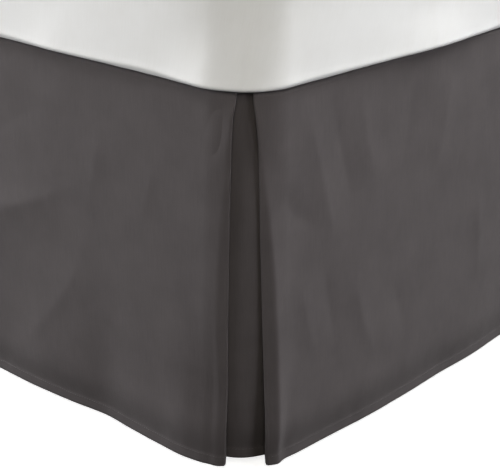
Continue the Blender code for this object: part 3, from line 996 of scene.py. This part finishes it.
class Swell(NamedTuple):
    """A soft wave of the mattress's lower edge beside the right foot corner."""

    offset: float  # from the corner's middle, - along the foot and + along the side
    width: float   # half width where it has faded to a third
    depth: float   # + inwards
    lift: float    # how far the edge is drawn up


SWELLS = (
    Swell(-0.315, 0.050, 0.0000, 0.0017),
    Swell(-0.228, 0.035, -0.0022, 0.0000),
    Swell(-0.112, 0.038, 0.0000, 0.0019),
    Swell(-0.045, 0.024, -0.0020, 0.0000),
    Swell(0.048, 0.030, 0.0014, 0.0000),
    Swell(0.085, 0.045, 0.0000, 0.0011),
    Swell(0.245, 0.060, -0.0044, 0.0000),
    Swell(0.400, 0.055, 0.0030, 0.0021),
)
# The mattress's wall: heights above its underside, and depths inside its widest line
WALL_RISE = (0.000, 0.020, 0.060, 0.110, 0.170, 0.215)
WALL_INSET = (0.0071, 0.0068, 0.0056, 0.0034, 0.0020, 0.0030)
# How far its corners are drawn in at those heights
CORNER_RISE = (0.000, 0.004, 0.012, 0.025, 0.045, 0.070, 0.120)
CORNER_DRAWN_IN = (0.0000, 0.0006, 0.0020, 0.0044, 0.0082, 0.0126, 0.0195)
CORNER_SPREAD = 0.052
SWELL_FADE = 0.045
# How far from the corner the swells reach, and over what length the plain wander takes over
SWELLS_REACH = 0.42
SWELLS_MERGE = 0.08
GATHERS_FADE = 0.020
# The small upright ridge on the corner itself, with its widths to the left and right
CORNER_RIDGE = 0.0010
CORNER_RIDGE_OFFSET = -0.007
CORNER_RIDGE_SPANS = (0.005, 0.016)
CORNER_RIDGE_RISE = 0.022
CORNER_RIDGE_FADE = 0.035


def swell_at(places, size):
    """The sum of all swells' depths or lifts, beside the right foot corner."""
    total = np.zeros_like(places)
    for swell in SWELLS:
        away = (places - CORNER - swell.offset) / swell.width
        total += getattr(swell, size) * np.exp(-away * away)
    return total


def wall_depths(places, rise, end):
    """The mattress wall's depths inside its widest line, at one rise above its underside."""
    offset = np.abs(places) - CORNER
    depths = np.full_like(places, np.interp(rise, WALL_RISE, WALL_INSET))
    drawn_in = np.interp(rise, CORNER_RISE, CORNER_DRAWN_IN)
    depths += drawn_in * np.exp(-(offset / CORNER_SPREAD) ** 2)
    low = 1 - smooth_share(rise / SWELL_FADE)
    wander = wander_depths(EDGE_WANDER, places, end)
    if end == 0:
        away = smooth_share((np.abs(places - CORNER) - SWELLS_REACH) / SWELLS_MERGE)
        depths += low * (swell_at(places, "depth") + wander * away)
        across = places - CORNER - CORNER_RIDGE_OFFSET
        span = np.where(across < 0, *CORNER_RIDGE_SPANS)
        upper = smooth_share((rise - CORNER_RIDGE_RISE) / CORNER_RIDGE_FADE)
        depths -= CORNER_RIDGE * np.exp(-(across / span) ** 2) * (1 - upper)
    else:
        depths += low * wander
    depths += wander_depths(EDGE_GATHERS, places, rise, end) * np.exp(-rise / GATHERS_FADE)
    return depths + wander_depths(WALL_WANDER, places, rise, end)


def mattress_ring(rise, inset, overhang, bottom):
    """A closed ring of the mattress. Its head half is the foot half's outline, mirrored."""
    middle_of_side = STRAIGHT_FOOT + QUARTER_TURN + HALF_LENGTH - CORNER_RADIUS
    places = places_round(middle_of_side, 96, 24, 126)
    foot, head = (
        outline_points(places, wall_depths(places, rise, end) + inset - overhang)
        for end in (0, 1)
    )
    ring = np.concatenate([foot, head[-2:0:-1] * (1, -1)])
    heights = np.full(len(ring), bottom + rise)
    lifted = smooth_share(rise / 0.002) * (1 - smooth_share(rise / SWELL_FADE))
    heights[:len(places)] += lifted * swell_at(places, "lift")
    return np.column_stack([ring, heights])


def make_mattress(material):
    """The plain white mattress in its fitted sheet, with a wavy lower edge."""
    low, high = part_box("mattress")
    overhang = high.x - HALF_WIDTH
    under, over, crown = 0.004, 0.036, 0.010
    height = high.z - low.z
    rings = []
    for step in range(6):
        angle = step / 6 * pi / 2
        rise = under * (1 - cos(angle))
        rings.append(mattress_ring(rise, under * (1 - sin(angle)), overhang, low.z))
    wall = under + (height - crown - over - under) * np.linspace(0, 1, 30) ** 1.5
    for rise in wall:
        bead = 0.0003 * np.exp(-((rise - 0.0045) / 0.0020) ** 2)
        rings.append(mattress_ring(rise, 0.0003 - bead, overhang, low.z))
    for step in range(1, 9):
        angle = step / 8 * pi / 2
        rise = height - crown - over * (1 - sin(angle))
        rings.append(mattress_ring(rise, over * (1 - cos(angle)), overhang, low.z))
    edge = rings[-1]
    for share in (0.03, 0.07, 0.12, 0.19, 0.28, 0.38, 0.49, 0.61, 0.74, 0.86, 0.95, 0.995):
        points = edge[:, :2] * (1 - share)
        lift = crown * sin(share * pi / 2)
        dips = np.array([noise.noise(Vector((x * 3.2, y * 3.2, 0.7))) for x, y in points])
        level = edge[:, 2] + lift + 0.0022 * (dips - 0.6) * min(1.0, share * 8)
        rings.append(np.column_stack([points, np.minimum(level, high.z)]))
    piece = new_object("mattress_in_sheet", np.concatenate(rings), join_rings(rings), material,
                       ring_lengths(rings))
    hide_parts("mattress")


def make_camera():
    """The photograph's view."""
    azimuth, pitch, roll = (radians(v) for v in (CAMERA_AZIMUTH, CAMERA_PITCH, CAMERA_ROLL))
    forward = Vector((-sin(azimuth) * cos(pitch), cos(azimuth) * cos(pitch), -sin(pitch)))
    level = Vector((cos(azimuth), sin(azimuth), 0.0))
    rise = level.cross(forward)
    right = level * cos(roll) + rise * sin(roll)
    up = rise * cos(roll) - level * sin(roll)
    data = bpy.data.cameras.new("camera")
    data.lens = CAMERA_LENS
    data.sensor_width = SENSOR_WIDTH
    data.sensor_fit = "HORIZONTAL"
    camera = bpy.data.objects.new("camera", data)
    matrix = Matrix((right, up, -forward)).transposed().to_4x4()
    matrix.translation = Vector(CAMERA_PLACE)
    camera.matrix_world = matrix
    bpy.context.scene.collection.objects.link(camera)
    bpy.context.scene.camera = camera


def add_light(light):
    """A square soft box that faces the lit corner."""
    azimuth, elevation = radians(light.azimuth), radians(light.elevation)
    level = cos(elevation)
    direction = Vector((sin(azimuth) * level, -cos(azimuth) * level, sin(elevation)))
    data = bpy.data.lights.new(light.name, "AREA")
    data.shape = "SQUARE"
    data.size = LIGHT_SIZE
    data.energy = light.power
    data.color = light.colour
    lamp = bpy.data.objects.new(light.name, data)
    lamp.location = Vector(LIT_CORNER) + direction * light.distance
    lamp.rotation_euler = (-direction).to_track_quat("-Z", "Y").to_euler()
    bpy.context.scene.collection.objects.link(lamp)


def stage_finish(name, near, far):
    """A plain finish that glows, from a tone at the lit corner to another away from it; on the floor
    this is a painted pool of light.
    """
    material, tree, shader = shader_material(name)
    gap = tree.nodes.new("ShaderNodeVectorMath")
    gap.operation = "DISTANCE"
    gap.inputs[1].default_value = LIT_CORNER
    tree.links.new(object_places(tree), gap.inputs[0])
    share = add_math(tree, "MULTIPLY", gap.outputs["Value"], 1 / STAGE_FADE_END)
    tone = add_ramp(tree, share, ((near,) * 3, (far,) * 3), STAGE_FADE_START / STAGE_FADE_END, 1.0)
    tree.links.new(tone, shader.inputs["Base Color"])
    tree.links.new(tone, shader.inputs["Emission Color"])
    shader.inputs["Emission Strength"].default_value = 1.0
    shader.inputs["Roughness"].default_value = 0.9
    return material


def add_stage_piece(name, mesh_data, material):
    """A piece of the stage, which sheds no light on the bed."""
    mesh = bpy.data.meshes.new(name)
    mesh_data.to_mesh(mesh)
    mesh_data.free()
    mesh.materials.append(material)
    piece = bpy.data.objects.new(name, mesh)
    piece.visible_diffuse = False
    piece.visible_glossy = False
    bpy.context.scene.collection.objects.link(piece)
    return piece


def make_stage():
    """A pale floor with a painted pool of light round the lit corner, a pale backdrop, soft boxes round
    the corner, and a faint even fill.
    """
    floor = bmesh.new()
    bmesh.ops.create_circle(floor, cap_ends=True, segments=64, radius=STAGE_RADIUS)
    add_stage_piece("floor", floor, stage_finish("pale_floor", STAGE_LIT_GLOW, STAGE_FAR))
    wall = bmesh.new()
    bmesh.ops.create_uvsphere(wall, u_segments=48, v_segments=24, radius=STAGE_RADIUS)
    backdrop = add_stage_piece("backdrop", wall, stage_finish("pale_backdrop", STAGE_FAR, STAGE_FAR))
    backdrop.visible_shadow = False
    world = bpy.data.worlds.new("studio")
    world.use_nodes = True
    world.node_tree.nodes["Background"].inputs["Color"].default_value = (1, 1, 1, 1)
    world.node_tree.nodes["Background"].inputs["Strength"].default_value = WORLD_FILL
    bpy.context.scene.world = world
    for light in LIGHTS:
        add_light(light)
    bpy.context.scene.view_settings.view_transform = "Standard"


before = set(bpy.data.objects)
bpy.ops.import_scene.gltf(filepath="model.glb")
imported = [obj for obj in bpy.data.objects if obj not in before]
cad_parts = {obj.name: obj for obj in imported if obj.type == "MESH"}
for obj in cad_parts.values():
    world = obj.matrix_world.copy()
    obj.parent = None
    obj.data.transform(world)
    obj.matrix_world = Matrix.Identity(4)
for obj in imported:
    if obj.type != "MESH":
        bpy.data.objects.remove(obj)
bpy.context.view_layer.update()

make_camera()
make_stage()

CHARCOAL = ((0.0707, 0.0620, 0.0653), (0.0815, 0.0719, 0.0755), (0.0922, 0.0817, 0.0852))
WHITE = ((0.824, 0.829, 0.834), (0.850, 0.857, 0.867), (0.873, 0.881, 0.894))
# The skirt's colour carries painted shade towards its hem
skirt = woven_material("skirt_microfibre", CHARCOAL, 0.00042, 0.00008, 0.8, 0.08, HEM_PAINTED_SHADE)
deck_cloth = woven_material("deck_microfibre", CHARCOAL, 0.00042, 0.00008, 0.8, 0.08)
white = woven_material("white_cotton", WHITE, 0.00034, 0.00005, 0.85, 0.1)
ticking = ticking_material()
thread = thread_material()
wood = wood_material()
pad = felt_material()

for drop in DROPS:
    make_drop(drop, skirt, thread)
make_underlay("skirt_underlay_left", "pleat_underlay_left", -CORNER, skirt, thread)
make_underlay("skirt_underlay_right", "pleat_underlay_right", CORNER, skirt, thread)
make_deck(deck_cloth)
make_mattress(white)
make_base(ticking)
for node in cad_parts:
    if node.startswith("leg_"):
        make_leg(node, wood, pad)
